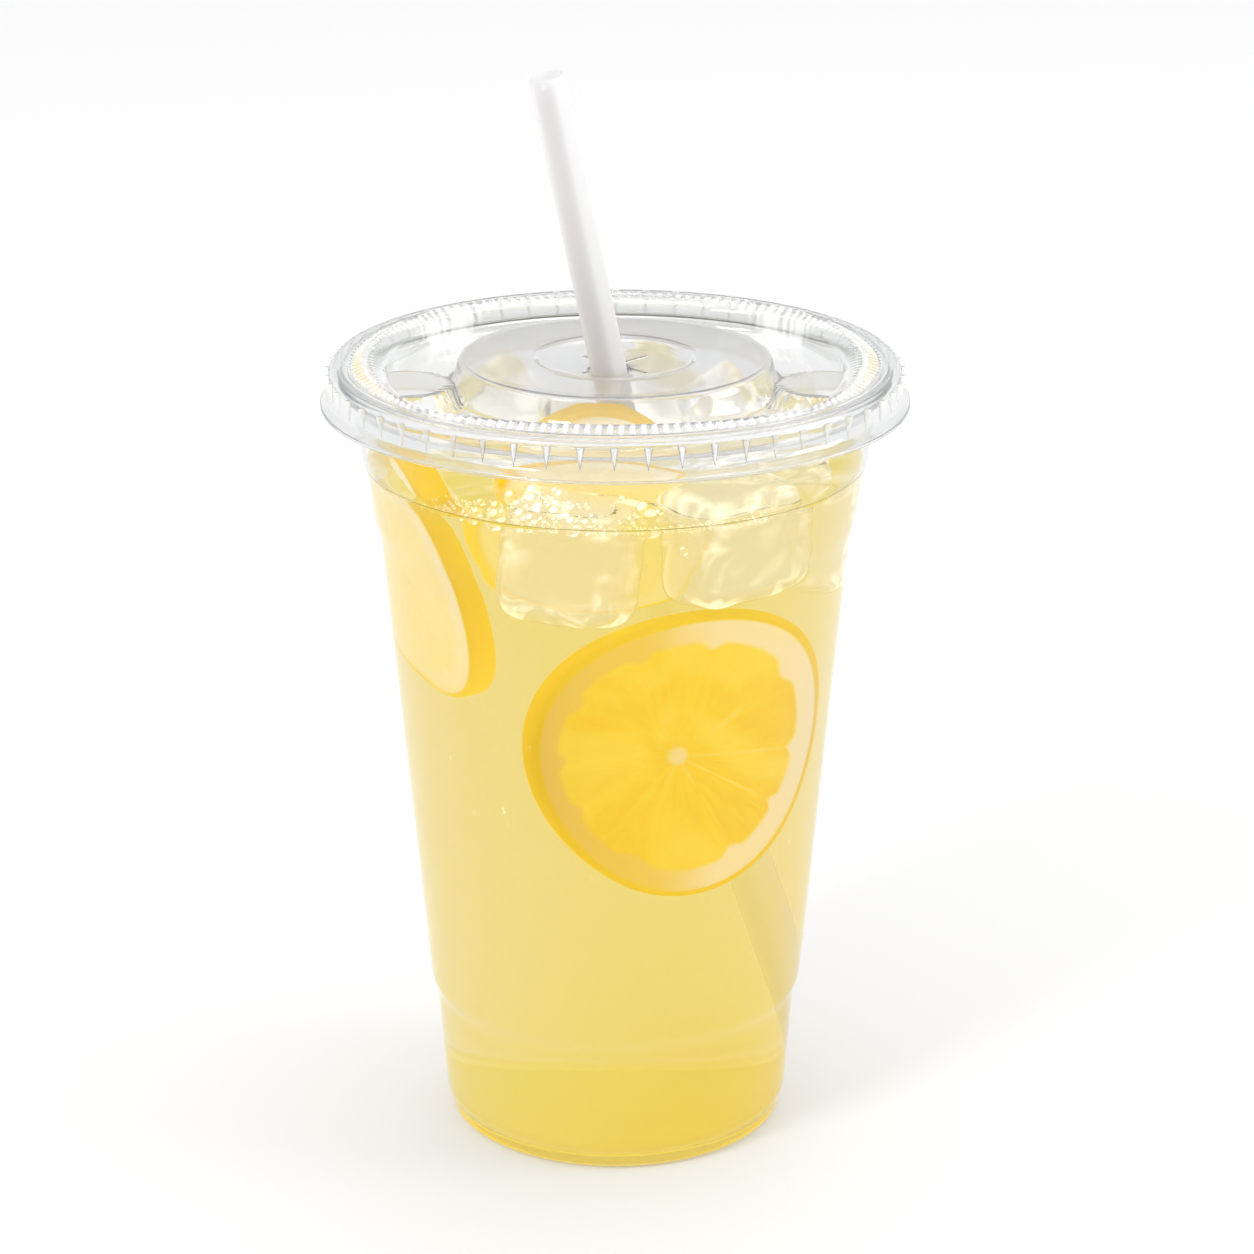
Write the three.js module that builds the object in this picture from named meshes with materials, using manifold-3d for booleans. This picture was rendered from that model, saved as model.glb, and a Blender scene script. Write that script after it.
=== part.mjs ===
// Takeaway cup of iced lemonade, in millimetres: a clear thermoformed cup, its clip-on flat lid,
// a straight straw, the drink, three lemon slices and seven pieces of ice.
// The origin is the middle of the base, +Z is up and -Y is the front.

import * as THREE from 'three';
import { mergeVertices } from 'three/addons/utils/BufferGeometryUtils.js';
import Module from 'manifold-3d';

const wasm = await Module();
wasm.setup();

const GAP = 0.3;
const degrees = Math.PI / 180;

// Cup: the usual 98 mm rim, a foot band, a stacking step low down and another under the rim
const CUP_SEGMENTS = 48;
const CUP_WALL = 0.5;
const FOOT_RADIUS = 30.6;
const FOOT_BAND = 2.6;
const BASE_RECESS = 2.2;
const CONTACT_RADIUS = 28.6;
const LOW_STEP = { z: 24.5, inner: 33.1, outer: 34.15, rise: 2.5 };
const HIGH_STEP = { z: 112.5, inner: 42.0, outer: 43.0, rise: 3.5 };
const NECK = { z: 124.4, inner: 44.05, outer: 44.8, rise: 1.8 };
const RIM = { radius: 47.5, z: 140.8, bead: 1.5 };

// Lid: a skirt that snaps over the rim, a ring for the ribs, a moulded trough and a raised middle
const LID_SEGMENTS = 48;
const LID_WALL = 0.45;
const LIP = { radius: 52.2, z: 136.6 };
const BEAD_RADIUS = 50.7;
const CREST = { radius: 43.3, z: 144.5 };
const TROUGH = { radius: 40.4, ledge: 143.2, floor: 139.1, corner: 4.6 };
const TROUGH_CORNERS = [45, 135, 225, 315];
const PLATEAU = { radius: 27.7, z: 144.4, foot: 29.3 };
const WELL = { radius: 14.2, floorRadius: 9.6, z: 142.8 };
const BUTTON = { radius: 8.8, centre: 38.6, z: 143.0 };
const BUTTON_ANGLES = [-20, 200];
const SLOT = { length: 16, width: 0.7 };

// Straw: straight paper-white tube that leans to the left and a little towards the front
const STRAW = { outer: 3.15, wall: 0.3, top: 196, bottom: 6.2, segments: 20 };
const STRAW_AT_LID = new THREE.Vector3(-1.1, -4, 143);
const STRAW_SLOPE = { x: -0.198, y: -0.087 };

// Drink
const DRINK_LEVEL = 125.3;

// Lemon slices: centre, the way the cut face looks, how much the slice bows towards it, and how far
// its outline swells into three soft lobes, with the angle of the first
const SLICE_SEGMENTS = 32;
const SLICES = [
  { name: 'lemon_slice_front', radius: 26.9, thick: 5, turn: 23, tilt: -3, bow: 3.8,
    lobe: { share: 0.035, at: 38 }, centre: [11.0, -25.4, 81.4] },
  { name: 'lemon_slice_left', radius: 22.8, thick: 5.4, turn: -74, tilt: -17, bow: 0.8,
    lobe: { share: 0.02, at: 60 }, centre: [-30.0, -7.6, 108.6] },
  { name: 'lemon_slice_middle', radius: 17.5, thick: 6, turn: 5, tilt: -5, bow: 0,
    lobe: { share: 0.02, at: 80 }, centre: [-3.8, -9.9, 120.6] },
];

// Ice: centre, size along its own axes, and its turns about X, Y and Z in degrees
const ICE = [
  { centre: [19.6, -22.9, 118.6], size: [24, 17, 20], turn: [3, -4, 40] },
  { centre: [-7.6, -26.2, 116.0], size: [22, 16, 21.5], turn: [-4, 5, -15] },
  { centre: [30.9, 3.4, 114.2], size: [18, 14.5, 24], turn: [2, 3, 96] },
  { centre: [6.5, 27.3, 125.2], size: [20, 18, 19], turn: [38, 33, 10] },
  { centre: [19.4, 9.0, 131.3], size: [14, 12.5, 13], turn: [36, -30, 25] },
  { centre: [-21.3, 23.8, 125.5], size: [18, 17, 18], turn: [24, -20, 30] },
  { centre: [30.2, 20.6, 127.2], size: [13, 12.5, 13], turn: [14, 16, 20] },
];

// A closed body with shared corners, and without the slivers that a lathe leaves on its axis
function weld(geometry) {
  geometry.deleteAttribute('normal');
  geometry.deleteAttribute('uv');
  const welded = mergeVertices(geometry, 1e-4);
  const index = welded.index.array;
  const kept = [];
  for (let i = 0; i < index.length; i += 3) {
    const [a, b, c] = [index[i], index[i + 1], index[i + 2]];
    if (a !== b && b !== c && c !== a) kept.push(a, b, c);
  }
  welded.setIndex(kept);
  return welded;
}

function toSolid(geometry) {
  return new wasm.Manifold(new wasm.Mesh({
    numProp: 3,
    vertProperties: new Float32Array(geometry.attributes.position.array),
    triVerts: new Uint32Array(geometry.index.array),
  }));
}

// The largest piece of a cut solid, as a geometry
function toGeometry(solid) {
  const pieces = solid.decompose().sort((a, b) => b.volume() - a.volume());
  const mesh = pieces[0].getMesh();
  const geometry = new THREE.BufferGeometry();
  geometry.setAttribute('position', new THREE.BufferAttribute(new Float32Array(mesh.vertProperties), 3));
  geometry.setIndex(new THREE.BufferAttribute(new Uint32Array(mesh.triVerts), 1));
  return geometry;
}

// A profile of [radius, z] points turned about the Z axis
function turned(profile, segments) {
  const points = profile.map(([radius, z]) => new THREE.Vector2(radius, z));
  const geometry = new THREE.LatheGeometry(points, segments);
  geometry.rotateX(Math.PI / 2);
  return weld(geometry);
}

// The same profile moved sideways by a distance, to its left as it is walked along
function moved(profile, distance) {
  return profile.map(([radius, z], i) => {
    const before = profile[Math.max(i - 1, 0)];
    const after = profile[Math.min(i + 1, profile.length - 1)];
    const inward = new THREE.Vector2(radius - before[0], z - before[1]).normalize();
    const outward = new THREE.Vector2(after[0] - radius, after[1] - z).normalize();
    const along = inward.clone().add(outward).normalize();
    const reach = inward.lengthSq() && outward.lengthSq() ? along.dot(inward) : 1;
    const step = distance / Math.max(reach, 0.6);
    return [Math.max(radius - along.y * step, 0), z + along.x * step];
  });
}

// Each corner of a geometry sent through a function of its place
function reshaped(geometry, change) {
  const position = geometry.attributes.position;
  const point = new THREE.Vector3();
  for (let i = 0; i < position.count; i += 1) {
    point.fromBufferAttribute(position, i);
    change(point);
    position.setXYZ(i, point.x, point.y, point.z);
  }
  return geometry;
}

// Cup

const cupOutside = [
  [0, BASE_RECESS],
  [CONTACT_RADIUS - 3, BASE_RECESS],
  [CONTACT_RADIUS - 1.2, 0],
  [CONTACT_RADIUS + 0.8, 0],
  [FOOT_RADIUS, 1.2],
  [FOOT_RADIUS, FOOT_BAND],
  [FOOT_RADIUS + 1, FOOT_BAND + 2.2],
  [LOW_STEP.inner, LOW_STEP.z],
  [LOW_STEP.outer, LOW_STEP.z + LOW_STEP.rise],
  [HIGH_STEP.inner, HIGH_STEP.z],
  [HIGH_STEP.outer, HIGH_STEP.z + HIGH_STEP.rise],
  [NECK.inner, NECK.z],
  [NECK.outer, NECK.z + NECK.rise],
  [RIM.radius - RIM.bead + 0.35, RIM.z - 1.5],
];
const cupInside = moved(cupOutside, CUP_WALL);

function makeCup() {
  const bead = [];
  for (const angle of [-70, -20, 30, 80, 130]) {
    bead.push([
      RIM.radius + RIM.bead * Math.cos(angle * degrees),
      RIM.z + RIM.bead * Math.sin(angle * degrees),
    ]);
  }
  const inside = cupInside.slice().reverse();
  return turned([...cupOutside, ...bead, ...inside], CUP_SEGMENTS);
}

// Lid

// The trough is a rounded square: its wall and ledge move out towards four creased corners
function squareTrough(point) {
  const radius = Math.hypot(point.x, point.y);
  const wallFoot = PLATEAU.foot + 3;
  const ribsEnd = CREST.radius + 3.4;
  if (radius < wallFoot || radius > ribsEnd || point.z > CREST.z + 1) return;
  const angle = Math.atan2(point.y, point.x) / degrees;
  const fromCorner = Math.min(...TROUGH_CORNERS.map((corner) => {
    const turn = Math.abs(((angle - corner) % 360 + 540) % 360 - 180);
    return turn;
  }));
  const pull = TROUGH.corner * Math.max(0, 1 - fromCorner / 40) ** 1.5;
  const share = radius <= TROUGH.radius
    ? (radius - wallFoot) / (TROUGH.radius - wallFoot)
    : (ribsEnd - radius) / (ribsEnd - TROUGH.radius);
  const scale = (radius + pull * Math.min(share * 1.35, 1)) / radius;
  point.x *= scale;
  point.y *= scale;
}

const lidTop = [
  [0, WELL.z],
  [WELL.floorRadius, WELL.z],
  [WELL.radius, PLATEAU.z],
  [PLATEAU.radius - 0.6, PLATEAU.z],
  [PLATEAU.radius, PLATEAU.z - 0.5],
  [PLATEAU.radius + 0.6, TROUGH.floor + 2.6],
  [PLATEAU.foot, TROUGH.floor],
  [TROUGH.radius - 1.2, TROUGH.floor],
  [TROUGH.radius - 0.5, TROUGH.floor + 0.5],
  [TROUGH.radius, TROUGH.ledge],
  [CREST.radius, CREST.z],
  [CREST.radius + 3.3, CREST.z - 0.9],
  [47.5, 143.9],
  [48.4, 143.5],
  [49.4, 143.9],
  [BEAD_RADIUS, 142.9],
  [BEAD_RADIUS - 0.1, 139.7],
  [BEAD_RADIUS + 0.1, 138.2],
  [LIP.radius, LIP.z + 0.5],
];

// A flavour button: a low round dome that stands in the trough against its outer wall
function buttonCore(angle, shrink) {
  const height = BUTTON.z - shrink - TROUGH.floor + 1.5;
  const top = BUTTON.radius - shrink;
  const core = new THREE.CylinderGeometry(top, top + 0.5, height, 28);
  core.rotateX(Math.PI / 2);
  core.translate(
    BUTTON.centre * Math.cos(angle * degrees),
    BUTTON.centre * Math.sin(angle * degrees),
    BUTTON.z - shrink - height / 2,
  );
  return toSolid(weld(core));
}

function strawAxis() {
  return new THREE.Vector3(STRAW_SLOPE.x, STRAW_SLOPE.y, 1).normalize();
}

function strawPoint(z) {
  const rise = z - STRAW_AT_LID.z;
  return new THREE.Vector3(
    STRAW_AT_LID.x + STRAW_SLOPE.x * rise,
    STRAW_AT_LID.y + STRAW_SLOPE.y * rise,
    z,
  );
}

// A solid rod along the straw, for the room that the lid and the drink leave round it
function strawRod(radius, low, high) {
  const start = strawPoint(low);
  const end = strawPoint(high);
  const rod = new THREE.CylinderGeometry(radius, radius, start.distanceTo(end), STRAW.segments);
  const upright = new THREE.Vector3(0, 1, 0);
  rod.applyQuaternion(new THREE.Quaternion().setFromUnitVectors(upright, strawAxis()));
  rod.translate(...start.add(end).multiplyScalar(0.5));
  return toSolid(weld(rod));
}

function makeLid() {
  const edge = LIP.z;
  const skirt = [[LIP.radius, edge], [0, edge]];
  const outside = reshaped(turned([...lidTop, ...skirt].reverse(), LID_SEGMENTS), squareTrough);
  const below = moved(lidTop, -LID_WALL);
  const open = [[LIP.radius - LID_WALL, edge - 1], [0, edge - 1]];
  const inside = reshaped(turned([...below, ...open].reverse(), LID_SEGMENTS), squareTrough);
  let shell = toSolid(outside);
  let hollow = toSolid(inside);
  for (const angle of BUTTON_ANGLES) {
    shell = shell.add(buttonCore(angle, 0));
    hollow = hollow.add(buttonCore(angle, LID_WALL));
  }
  let lid = shell.subtract(hollow).subtract(strawRod(STRAW.outer + 0.35, 138, 150));
  for (const turn of [45, 135]) {
    const slot = new THREE.BoxGeometry(SLOT.length, SLOT.width, 4);
    slot.rotateZ(turn * degrees);
    slot.translate(0, 0, WELL.z);
    lid = lid.subtract(toSolid(weld(slot)));
  }
  return toGeometry(lid);
}

// Straw

function makeStraw() {
  const length = strawPoint(STRAW.bottom).distanceTo(strawPoint(STRAW.top));
  const bore = STRAW.outer - STRAW.wall;
  const ring = [[bore, 0], [STRAW.outer, 0], [STRAW.outer, length], [bore, length], [bore, 0]];
  return turned(ring, STRAW.segments);
}

// Lemon slices

// A round slice with eased edges, lying in its own XY plane and bowed about its own Y axis
function sliceShape(slice, extra) {
  const half = slice.thick / 2 + extra;
  const radius = slice.radius + extra;
  const ease = 1.1;
  const rings = [0, 0.5 * radius];
  const profile = [
    ...rings.map((ring) => [ring, -half]),
    [radius - ease, -half],
    [radius, -half + ease],
    [radius, half - ease],
    [radius - ease, half],
    ...rings.slice().reverse().map((ring) => [ring, half]),
  ];
  return reshaped(turned(profile, SLICE_SEGMENTS), (point) => {
    const around = Math.atan2(point.y, point.x);
    const swell = 1 + slice.lobe.share * Math.cos(3 * (around - slice.lobe.at * degrees));
    point.x *= swell;
    point.y *= swell;
    point.z += slice.bow * (0.4 - (point.x / slice.radius) ** 2);
  });
}

// Stands the slice up facing the front, tilts it, turns it about the cup and puts it in place
function slicePlace(slice) {
  const place = new THREE.Matrix4().makeRotationX(Math.PI / 2);
  place.premultiply(new THREE.Matrix4().makeRotationX(-slice.tilt * degrees));
  place.premultiply(new THREE.Matrix4().makeRotationZ(slice.turn * degrees));
  place.premultiply(new THREE.Matrix4().makeTranslation(...slice.centre));
  return place;
}

function sliceSolid(slice, extra) {
  return weld(sliceShape(slice, extra).applyMatrix4(slicePlace(slice)));
}

// Ice

// A melted cube: a box pushed halfway to a ball, with soft hollows that differ from cube to cube
function iceSolid(ice, number, extra) {
  const box = weld(new THREE.BoxGeometry(2, 2, 2, 3, 3, 3));
  const shape = reshaped(box, (point) => {
    const power = 6;
    const reach = (Math.abs(point.x) ** power + Math.abs(point.y) ** power
      + Math.abs(point.z) ** power) ** (1 / power);
    const melt = 1 - 0.035 * (1 + Math.sin(3.1 * point.x + 2 * number) * Math.cos(2.7 * point.y - number));
    point.multiplyScalar(melt / reach);
    point.x *= ice.size[0] / 2 + extra;
    point.y *= ice.size[1] / 2 + extra;
    point.z *= ice.size[2] / 2 + extra;
  });
  const turn = new THREE.Euler(...ice.turn.map((angle) => angle * degrees), 'ZYX');
  shape.applyMatrix4(new THREE.Matrix4().makeRotationFromEuler(turn));
  shape.translate(...ice.centre);
  return shape;
}

// Drink: what fills the cup up to its level, round the straw, the slices and the ice

function makeDrink() {
  const fill = moved(cupOutside, CUP_WALL + GAP);
  const neck = fill.findIndex(([, z]) => z > DRINK_LEVEL);
  const [lowRadius, lowZ] = fill[neck - 1];
  const [highRadius, highZ] = fill[neck];
  const share = (DRINK_LEVEL - lowZ) / (highZ - lowZ);
  const shore = lowRadius + share * (highRadius - lowRadius);
  const profile = [...fill.slice(0, neck), [shore, DRINK_LEVEL], [0, DRINK_LEVEL]];
  let drink = toSolid(turned(profile, CUP_SEGMENTS));
  drink = drink.subtract(strawRod(STRAW.outer + GAP, STRAW.bottom - 0.5, DRINK_LEVEL + 10));
  for (const slice of SLICES) drink = drink.subtract(toSolid(sliceSolid(slice, GAP)));
  ICE.forEach((ice, number) => {
    drink = drink.subtract(toSolid(iceSolid(ice, number, GAP)));
  });
  return toGeometry(drink);
}

// Assembly

const clear = { roughness: 0.05, metalness: 0, transparent: true, opacity: 0.35 };
const looks = {
  cup: new THREE.MeshStandardMaterial({ color: 0xeef2f2, ...clear }),
  lid: new THREE.MeshStandardMaterial({ color: 0xf2f5f6, ...clear }),
  straw: new THREE.MeshStandardMaterial({ color: 0xfafafa, roughness: 0.4, metalness: 0 }),
  lemonade: new THREE.MeshStandardMaterial({ color: 0xf3dc82, roughness: 0.1, metalness: 0 }),
  lemon: new THREE.MeshStandardMaterial({ color: 0xf5c812, roughness: 0.45, metalness: 0 }),
  ice: new THREE.MeshStandardMaterial({ color: 0xf4f8f8, ...clear }),
};

const cupOfLemonade = new THREE.Group();

function add(name, geometry, look) {
  const mesh = new THREE.Mesh(geometry, looks[look]);
  mesh.name = name;
  cupOfLemonade.add(mesh);
  return mesh;
}

add('cup', makeCup(), 'cup');
add('lid', makeLid(), 'lid');
const straw = add('straw', makeStraw(), 'straw');
straw.quaternion.setFromUnitVectors(new THREE.Vector3(0, 0, 1), strawAxis());
straw.position.copy(strawPoint(STRAW.bottom));
add('lemonade', makeDrink(), 'lemonade');
for (const slice of SLICES) add(slice.name, sliceSolid(slice, 0), 'lemon');
ICE.forEach((ice, number) => {
  add(`ice_${number + 1}`, iceSolid(ice, number, 0), 'ice');
});

export default cupOfLemonade;
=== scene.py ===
"""A takeaway cup of iced lemonade with a clear lid and a straw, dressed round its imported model."""

import bpy
import mathutils
import numpy as np
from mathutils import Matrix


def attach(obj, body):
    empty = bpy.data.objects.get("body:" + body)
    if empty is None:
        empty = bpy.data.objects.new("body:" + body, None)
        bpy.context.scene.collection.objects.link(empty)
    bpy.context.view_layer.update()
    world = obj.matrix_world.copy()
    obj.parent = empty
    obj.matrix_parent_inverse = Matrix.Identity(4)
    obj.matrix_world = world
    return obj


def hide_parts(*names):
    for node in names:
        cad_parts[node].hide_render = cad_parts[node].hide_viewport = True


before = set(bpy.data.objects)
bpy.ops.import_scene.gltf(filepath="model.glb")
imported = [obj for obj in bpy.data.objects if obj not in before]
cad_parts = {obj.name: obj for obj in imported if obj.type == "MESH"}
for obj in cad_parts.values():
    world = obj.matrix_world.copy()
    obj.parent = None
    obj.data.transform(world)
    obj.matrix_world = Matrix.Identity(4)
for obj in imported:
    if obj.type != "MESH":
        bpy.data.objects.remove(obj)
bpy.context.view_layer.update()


# Cup
# A clear cup, formed hot from one thin sheet: a recessed base in a foot band, a stacking step low
# down, a tapered wall with a second step under the neck, and a rim rolled outwards into a bead. The
# foot band is painted with the drink's yellow and glows a weak orange, a painted glow that makes up
# for the shade under the cup.

MM = 0.001
CUP_WALL = 0.5
CUP_AROUND = 192
CUP_ROUND, CUP_PITCH = 1.1, 6.0
FOOT_RADIUS = 30.6
BASE_RECESS = 2.2
RIM_CENTRE = (47.5, 140.8)
RIM_BEAD = 1.45
RIM_ROLL = (-110, 170)
FOOT_GLOW_HEIGHTS = (0.0032, 0.0022)
CUP_CORNERS = np.array([
    (0.6, BASE_RECESS), (24.2, BASE_RECESS), (25.8, BASE_RECESS - 0.2), (27.3, 0.05), (29.3, 0.05),
    (FOOT_RADIUS, 1.2), (FOOT_RADIUS, 2.7), (31.55, 4.7), (33.1, 24.4), (34.15, 27.0),
    (42.0, 112.4), (43.0, 116.0), (44.05, 124.2), (44.8, 126.1), (46.3, 139.0),
])


def eased(corners, radius, steps=6):
    """A path whose inner corners are rounded.

    Each corner gives way to a parabola from a point one radius before it to a point one radius
    after it, held to under half of the shorter side, with the corner as its control point.
    """
    before = corners[:-2] - corners[1:-1]
    after = corners[2:] - corners[1:-1]
    back = np.linalg.norm(before, axis=1, keepdims=True)
    on = np.linalg.norm(after, axis=1, keepdims=True)
    reach = np.minimum(radius, 0.45 * np.minimum(back, on))
    start = (corners[1:-1] + before / back * reach)[:, None]
    end = (corners[1:-1] + after / on * reach)[:, None]
    t = np.linspace(0, 1, steps)[None, :, None]
    rounds = (1 - t) ** 2 * start + 2 * t * (1 - t) * corners[1:-1][:, None] + t ** 2 * end
    return np.concatenate([corners[:1], rounds.reshape(-1, 2), corners[-1:]])


def divided(path, pitch):
    """The same path with points no further apart than the pitch: each side is cut evenly."""
    sides = np.linalg.norm(np.diff(path, axis=0), axis=1)
    along = np.concatenate([[0], np.cumsum(sides)])
    cuts = np.maximum(np.ceil(sides / pitch).astype(int), 1)
    places = np.concatenate([np.linspace(a, b, n, endpoint=False)
                             for a, b, n in zip(along[:-1], along[1:], cuts)] + [along[-1:]])
    return np.stack([np.interp(places, along, path[:, k]) for k in (0, 1)], axis=1)


def beside(path, distance):
    """The path moved to its left by a distance, along normals that are its slopes turned round."""
    slope = np.gradient(path, axis=0)
    slope /= np.linalg.norm(slope, axis=1, keepdims=True)
    return path + distance * np.stack([-slope[:, 1], slope[:, 0]], axis=1)


def arc(centre, radius, start, end, steps):
    """Points of a round from one angle in degrees to another."""
    angle = np.radians(np.linspace(start, end, steps))
    return np.stack([centre[0] + radius * np.cos(angle), centre[1] + radius * np.sin(angle)], axis=1)


def revolved(path, around):
    """Rings of a turned shape: each point's radius is carried round the Z axis at its height."""
    angle = np.linspace(0, 2 * np.pi, around, endpoint=False)[None, :]
    radius, height = path[:, :1], path[:, 1:]
    return np.stack([radius * np.cos(angle), radius * np.sin(angle), height + 0 * angle], axis=-1)


def placed(name, points, faces, smooth=True):
    """An object at the origin whose mesh has these points, given in millimetres."""
    mesh = bpy.data.meshes.new(name)
    mesh.from_pydata((points * MM).tolist(), [], faces)
    mesh.polygons.foreach_set("use_smooth", np.full(len(faces), smooth))
    mesh.update()
    piece = bpy.data.objects.new(name, mesh)
    bpy.context.scene.collection.objects.link(piece)
    return piece


def woven(count, around, ends):
    """The quads between a stack of rings, and the triangles that close it.

    Point j of ring i joins point j + 1 and ring i + 1. Ends "joined" carries the last ring on to
    the first. Ends "capped" closes each end ring with a fan to a point of its own, stored last.
    """
    ring = np.arange(count if ends == "joined" else count - 1)[:, None] * around
    here = np.arange(around)
    after = (here + 1) % around
    above = (ring + around) % (count * around)
    quads = np.stack([ring + here, ring + after, above + after, above + here], axis=-1)
    fans = np.zeros((0, 3), dtype=int)
    if ends == "capped":
        top = (count - 1) * around
        low_pole = np.full(around, count * around)
        near = np.stack([after, here, low_pole], axis=1)
        far = np.stack([top + here, top + after, low_pole + 1], axis=1)
        fans = np.concatenate([near, far])
    return quads.reshape(-1, 4), fans


def skin(name, rings, ends):
    """A closed skin over a stack of rings, in millimetres, by ring, point and coordinate.

    A cap's own point is the mean of its ring. A skin whose enclosed volume, a sum of tetrahedra
    from the origin, comes out negative has its faces turned round.
    """
    quads, fans = woven(*rings.shape[:2], ends)
    points = rings.reshape(-1, 3)
    if ends == "capped":
        points = np.concatenate([points, [rings[0].mean(axis=0), rings[-1].mean(axis=0)]])
    corner = points[np.concatenate([quads[:, (0, 1, 2)], quads[:, (0, 2, 3)], fans])]
    volume = np.einsum("ij,ij->", corner[:, 0], np.cross(corner[:, 1], corner[:, 2]))
    if volume < 0:
        quads, fans = quads[:, ::-1], fans[:, ::-1]
    return placed(name, points, quads.tolist() + fans.tolist())


def material(name, **values):
    """A material with one Principled shader, set by the names of its sockets."""
    made = bpy.data.materials.new(name)
    made.use_nodes = True
    shader = made.node_tree.nodes["Principled BSDF"]
    for socket, value in values.items():
        shader.inputs[socket.replace("_", " ")].default_value = value
    return made, made.node_tree, shader


def node(tree, kind, inputs, **settings):
    """A shader node with its settings, and with each input joined to a socket or given a value."""
    made = tree.nodes.new("ShaderNode" + kind)
    for name, value in settings.items():
        setattr(made, name, value)
    for socket, value in inputs.items():
        if isinstance(value, bpy.types.NodeSocket):
            tree.links.new(value, made.inputs[socket])
        else:
            made.inputs[socket].default_value = value
    return made


def ramped(tree, value, low, high):
    """From nought at the low value to one at the high one, with soft ends."""
    inputs = {"Value": value, "From Min": low, "From Max": high}
    return node(tree, "MapRange", inputs, interpolation_type="SMOOTHSTEP").outputs[0]


def blended(tree, factor, first, second):
    """Two colours mixed by a factor."""
    made = node(tree, "Mix", {}, data_type="RGBA")
    for socket, value in zip((0, 6, 7), (factor, first, second)):
        if isinstance(value, bpy.types.NodeSocket):
            tree.links.new(value, made.inputs[socket])
        else:
            made.inputs[socket].default_value = value
    return made.outputs[2]


def place(tree):
    """The three Object coordinates, in metres."""
    spots = node(tree, "TexCoord", {}).outputs["Object"]
    return node(tree, "SeparateXYZ", {0: spots}).outputs


cup_outside = divided(eased(CUP_CORNERS, CUP_ROUND), CUP_PITCH)
rim_round = arc(RIM_CENTRE, RIM_BEAD, *RIM_ROLL, 22)
cup_inside = beside(cup_outside, CUP_WALL)
cup_path = np.concatenate([cup_outside, rim_round, cup_inside[::-1]])
cup = skin("cup_wall", revolved(cup_path, CUP_AROUND), "capped")
cup_clear, cup_tree, cup_shader = material(
    "cup_clear", Roughness=0.02, IOR=1.45, Specular_Tint=(0.35, 0.35, 0.35, 1),
    Transmission_Weight=1.0, Emission_Strength=0.04)
# Painted light: the foot band is tinted yellow and glows orange to make up for the shade under the cup.
foot_glow = ramped(cup_tree, place(cup_tree)[2], *FOOT_GLOW_HEIGHTS)
cup_tree.links.new(blended(cup_tree, foot_glow, (0.98, 0.99, 0.985, 1), (0.98, 0.95, 0.62, 1)),
                   cup_shader.inputs["Base Color"])
cup_tree.links.new(blended(cup_tree, foot_glow, (0, 0, 0, 1), (1.0, 0.55, 0.05, 1)),
                   cup_shader.inputs["Emission Color"])
cup.data.materials.append(cup_clear)
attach(cup, "root")
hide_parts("cup")


# Ice
# Seven lumps of clear ice, once cubes, now rounded and hollowed where they have melted. They float
# at the top and lean on each other, some with a corner up under the lid. A painted highlight glows
# in broken patches along their edges. A milky fog inside them glows, a painted glow, and in the
# three that stand deep in the drink it glows with the drink's yellow.

ICE = (
    ((19.6, -22.9, 118.6), (24, 17, 20), (3, -4, 40)),
    ((-7.6, -26.2, 116.0), (22, 16, 21.5), (-4, 5, -15)),
    ((30.9, 3.4, 114.2), (18, 14.5, 24), (2, 3, 96)),
    ((6.5, 27.3, 125.2), (20, 18, 19), (38, 33, 10)),
    ((19.4, 9.0, 131.3), (14, 12.5, 13), (36, -30, 25)),
    ((-21.3, 23.8, 125.5), (18, 17, 18), (24, -20, 30)),
    ((30.2, 20.6, 127.2), (13, 12.5, 13), (14, 16, 20)),
)
ICE_AROUND, ICE_RINGS = 64, 40
ICE_POLE = 0.03
ICE_OVERLAP = 0.1
WET_LUMPS = 3
ICE_GLINT_SCALE, ICE_GLINT_EDGE, ICE_GLINT_PATCH = 95.0, (0.55, 0.85), (0.46, 0.66)


def turn_matrix(turns):
    """The matrix that turns about X, then Y, then Z, by angles in degrees."""
    (cx, cy, cz), (sx, sy, sz) = np.cos(np.radians(turns)), np.sin(np.radians(turns))
    about_x = np.array([(1, 0, 0), (0, cx, -sx), (0, sx, cx)])
    about_y = np.array([(cy, 0, sy), (0, 1, 0), (-sy, 0, cy)])
    about_z = np.array([(cz, -sz, 0), (sz, cz, 0), (0, 0, 1)])
    return about_z @ about_y @ about_x


def ice_rings(centre, size, turns, number, extra):
    """A melted cube as rings from its lower to its upper pole.

    Each direction of a ball is pushed out to the box whose corners are eased by a norm of power
    six, then drawn in by slow waves that differ from lump to lump, stretched to size and placed.
    The second result is the middle one of each point's three distances from the box's centre
    planes, which is large along the edges only.
    """
    down = np.linspace(ICE_POLE, np.pi - ICE_POLE, ICE_RINGS)[:, None]
    round_ = np.linspace(0, 2 * np.pi, ICE_AROUND, endpoint=False)[None, :]
    way = np.stack([np.sin(down) * np.cos(round_), np.sin(down) * np.sin(round_),
                    -np.cos(down) + 0 * round_], axis=-1)
    way /= np.sum(np.abs(way) ** 6, axis=-1, keepdims=True) ** (1 / 6)
    x, y, z = way[..., 0], way[..., 1], way[..., 2]
    edge = np.sort(np.abs(way), axis=-1)[..., 1]
    melt = 0.035 * (1 + np.sin(3.1 * x + 2 * number) * np.cos(2.7 * y - number))
    ripple = 0.012 * np.sin(7 * x + 5 * z + number) * np.sin(6 * y - 4 * z + 2 * number)
    way = way * (1 - melt - ripple - 0.01)[..., None] * (np.array(size) / 2 + extra)
    return way @ turn_matrix(turns).T + centre, edge


def sums(tree, operation, *values):
    """One Math node's result."""
    return node(tree, "Math", dict(enumerate(values)), operation=operation).outputs[0]


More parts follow.
